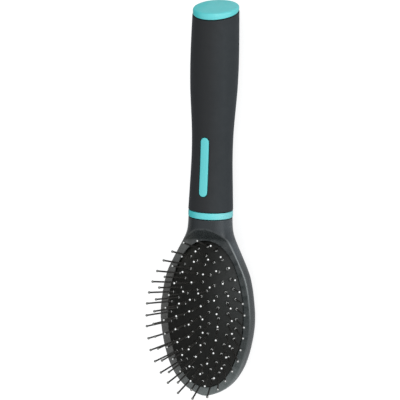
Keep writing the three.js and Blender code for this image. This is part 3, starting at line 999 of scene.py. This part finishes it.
# ---------------------------------------------------------------- pins
PIN_SIDES = 16
PIN_MATERIALS = [SHAFT, BALL, BEAD, SHADED_TIP, HALF_SHADED_TIP]
SHAFT_SLOT, BALL_SLOT, BEAD_SLOT, SHADED_TIP_SLOT, HALF_SHADED_TIP_SLOT = range(5)
SIGHT = np.array([0.451, 0.212, 1.0])         # direction towards the camera, per mm of height
# (distance from the root, radius) of the head at the pin's root
PIN_HEAD = [(-0.30, 0.02), (-0.30, 0.95), (-0.16, 1.08), (0.06, 1.08), (0.2, 0.95),
            (0.22, PIN_R + 0.05), (0.35, PIN_R)]
# (distance from the foot, radius) of the shaft, with the bead just above the pad
PIN_SHAFT = [(-1.2, PIN_R), (0.36, PIN_R), (0.42, 0.56), (0.50, 0.68), (0.60, 0.73), (0.70, 0.69),
             (0.77, 0.58), (0.80, PIN_R + 0.02), (0.92, PIN_R), (3.0, PIN_R), (6.5, PIN_R),
             (10.0, PIN_R), (13.2, PIN_R)]
BEAD_SPAN = (0.35, 0.82)


def ball_slot(tip):
    """painted shade: the shaded tip where a ball is seen past the head's outline (except far +X), the half-shaded
    tip above the rim
    """
    x, y, _ = tip - SIGHT * (tip[2] - RIM_Z)
    if outer_level(x, y, RIM_Z) > -0.04 and tip[0] < 14:
        return SHADED_TIP_SLOT
    return HALF_SHADED_TIP_SLOT if pad_distance(x, y) > 0 else BALL_SLOT


def add_pin(build, x, y):
    """adds one pin and returns its root and axis"""
    axis = pin_axis(x, y)
    foot = np.array([x, y, float(dome(x, y))])
    across = np.cross(axis, [0.0, 1.0, 0.0])
    across /= np.linalg.norm(across)
    root = -ROOT_DROP / axis[2]
    ball = ball_slot(foot + axis * PIN_L)
    profile = [(root + along, radius) for along, radius in PIN_HEAD] + PIN_SHAFT
    join_angle = math.asin((PIN_R + 0.03) / BALL_R)
    join = PIN_L - BALL_R * math.cos(join_angle)
    profile += [(join - 0.28, PIN_R), (join - 0.12, PIN_R + 0.008)]
    shaft_end = len(profile)
    for turn in [*np.linspace(join_angle, math.pi, 11)[:-1], math.pi - 0.12]:
        profile.append((PIN_L - BALL_R * math.cos(turn), BALL_R * math.sin(turn)))
    angles = np.arange(PIN_SIDES) * 2 * np.pi / PIN_SIDES
    circle = np.outer(np.cos(angles), across) + np.outer(np.sin(angles), np.cross(axis, across))
    rows = [build.points(foot + axis * along + circle * radius) for along, radius in profile]
    for k, (first, second) in enumerate(zip(rows, rows[1:])):
        middle = (profile[k][0] + profile[k + 1][0]) / 2
        beaded = BEAD_SPAN[0] < middle < BEAD_SPAN[1]
        build.band(first, second, ball if k >= shaft_end else BEAD_SLOT if beaded else SHAFT_SLOT)
    build.fan(rows[0], foot + axis * profile[0][0], flip=True)
    build.fan(rows[-1], foot + axis * (PIN_L + BALL_R), slot=ball)
    return foot + axis * root, axis


def strip(build, roots, normals):
    """thin rounded backing strip through the pins' heads, 0.9 longer at both ends"""
    section = []
    for i, (x, z) in enumerate(((0.55, 0.25), (-0.55, 0.25), (-0.55, -0.25), (0.55, -0.25))):
        for degrees in (0, 30, 60, 90):
            turn = math.radians(90 * i + degrees)
            section.append((x + 0.2 * math.cos(turn), z + 0.2 * math.sin(turn)))
    last = len(roots) - 1
    centres, rows = [], []
    for k, normal in enumerate(normals):
        along = roots[min(last, k + 1)] - roots[max(0, k - 1)]
        along /= np.linalg.norm(along)
        centre = roots[k] + along * (-0.9 if k == 0 else 0.9 if k == last else 0)
        across = np.cross(along, normal)
        across /= np.linalg.norm(across)
        up = np.cross(across, along)
        centres.append(centre)
        rows.append(build.points([centre + across * x + up * z for x, z in section]))
    build.bands(rows)
    build.fan(rows[0], centres[0], flip=True)
    build.fan(rows[-1], centres[-1])


for name, feet in BANKS:
    build = Build()
    roots, normals = zip(*[add_pin(build, x, y) for x, y in feet])
    strip(build, roots, normals)
    bank = tidy(build.mesh("pins_" + name + "_fine", PIN_MATERIALS), 0.0001)
    attach(bank, "bank_" + name, "pins_" + name)


# ---------------------------------------------------------------- floor (from here on in metres)
def floor_paper():
    """paper that looks whiter to the camera than in reflections, where it is darker towards -X"""
    shader = Shader("floor_paper")
    grain = shader.noise(scale=60, detail=3)
    seen = shader.add("LightPath").outputs["Is Camera Ray"]
    paper = shader.ramp(grain, low=(0.27, 0.27, 0.27), high=(0.29, 0.29, 0.29))
    # painted shade: in reflections and bounce the paper is darker towards -X, as if lit only from +X
    bounce = shader.ramp(shader.rise(shader.axis("X"), start=-0.07, end=0.02),
                         low=(0.26, 0.26, 0.26), high=(0.58, 0.58, 0.58), start=0.0, end=1.0)
    shader.set(Base_Color=shader.mix(seen, at_0=bounce, at_1=paper), Roughness=0.9,
               Specular_IOR_Level=0.1, Emission_Color=(1.0, 1.0, 1.0),
               Emission_Strength=shader.span(seen, low=0.0, high=0.78, start=0.0, end=1.0))
    return shader.material


floor_mesh = bpy.data.meshes.new("floor")
floor_mesh.from_pydata([(-4, -4, 0), (4, -4, 0), (4, 4, 0), (-4, 4, 0)], [], [(0, 1, 2, 3)])
floor = bpy.data.objects.new("floor", floor_mesh)
bpy.context.scene.collection.objects.link(floor)
floor.location.z = -0.0002
floor_mesh.materials.append(floor_paper())


# ---------------------------------------------------------------- lights
def softbox(name, place, aim, size, power):
    light = bpy.data.lights.new(name, "AREA")
    light.shape = "RECTANGLE"
    light.size, light.size_y = size
    light.energy = power
    obj = bpy.data.objects.new(name, light)
    bpy.context.scene.collection.objects.link(obj)
    obj.location = place
    obj.rotation_euler = (Vector(aim) - Vector(place)).to_track_quat("-Z", "Y").to_euler()


softbox("softbox_key", place=(0.8, 0.55, 1.45), aim=(0, 0.06, 0), size=(0.8, 0.8), power=5.0)
softbox("softbox_right", place=(1.34, 0.52, 0.30), aim=(0, 0.03, 0), size=(0.7, 0.35), power=1.8)
softbox("softbox_end", place=(0.15, 1.9, 0.9), aim=(0, 0.1, 0), size=(0.8, 0.4), power=4.4)


def studio_world():
    """even overhead, dark towards the -X horizon and bright towards the +X one"""
    world = bpy.data.worlds.new("studio")
    world.use_nodes = True
    bpy.context.scene.world = world
    nodes = world.node_tree.nodes

    def math_node(operation, first, second, third=0.0):
        node = nodes.new("ShaderNodeMath")
        node.operation = operation
        for socket, value in zip(node.inputs, (first, second, third)):
            feed(socket, value)
        return node.outputs[0]

    direction = nodes.new("ShaderNodeSeparateXYZ")
    feed(direction.inputs[0], nodes.new("ShaderNodeTexCoord").outputs["Generated"])
    low = math_node("SUBTRACT", 1.0, direction.outputs["Z"])
    side = math_node("MULTIPLY", direction.outputs["X"], low)
    ramp = nodes.new("ShaderNodeValToRGB")
    feed(ramp.inputs["Fac"], math_node("MULTIPLY_ADD", side, 0.5, 0.5))
    elements = ramp.color_ramp.elements
    elements[0].position = 0.07
    elements[0].color = (0.13, 0.13, 0.13, 1)
    elements[1].position = 0.96
    elements[1].color = (1.72, 1.76, 1.80, 1)
    elements.new(0.5).color = (1.13, 1.16, 1.19, 1)
    background = nodes["Background"]
    feed(background.inputs["Color"], ramp.outputs["Color"])
    background.inputs["Strength"].default_value = 1.0


studio_world()

# ---------------------------------------------------------------- camera
# rows: the camera's right, up and backward directions
CAMERA_AXES = np.array([[0.90960965, 0.0207477, -0.41494555],
                        [-0.09759141, 0.9814775, -0.16485703],
                        [0.40383932, 0.19045067, 0.8947862]])
CAMERA_PLACE = np.array([-0.210498481, 64.299197018, 1483.265976215])   # mm along those axes

camera_data = bpy.data.cameras.new("camera")
camera_data.sensor_width = 36.0
camera_data.lens = 253.638482
camera_data.clip_start, camera_data.clip_end = 0.05, 20.0
camera = bpy.data.objects.new("camera", camera_data)
bpy.context.scene.collection.objects.link(camera)
pose = Matrix(CAMERA_AXES.T.tolist()).to_4x4()
pose.translation = Vector((CAMERA_AXES.T @ CAMERA_PLACE + [0, 0, LIFT]) / 1000.0)
camera.matrix_world = pose
bpy.context.scene.camera = camera
bpy.context.scene.view_settings.view_transform = "Standard"
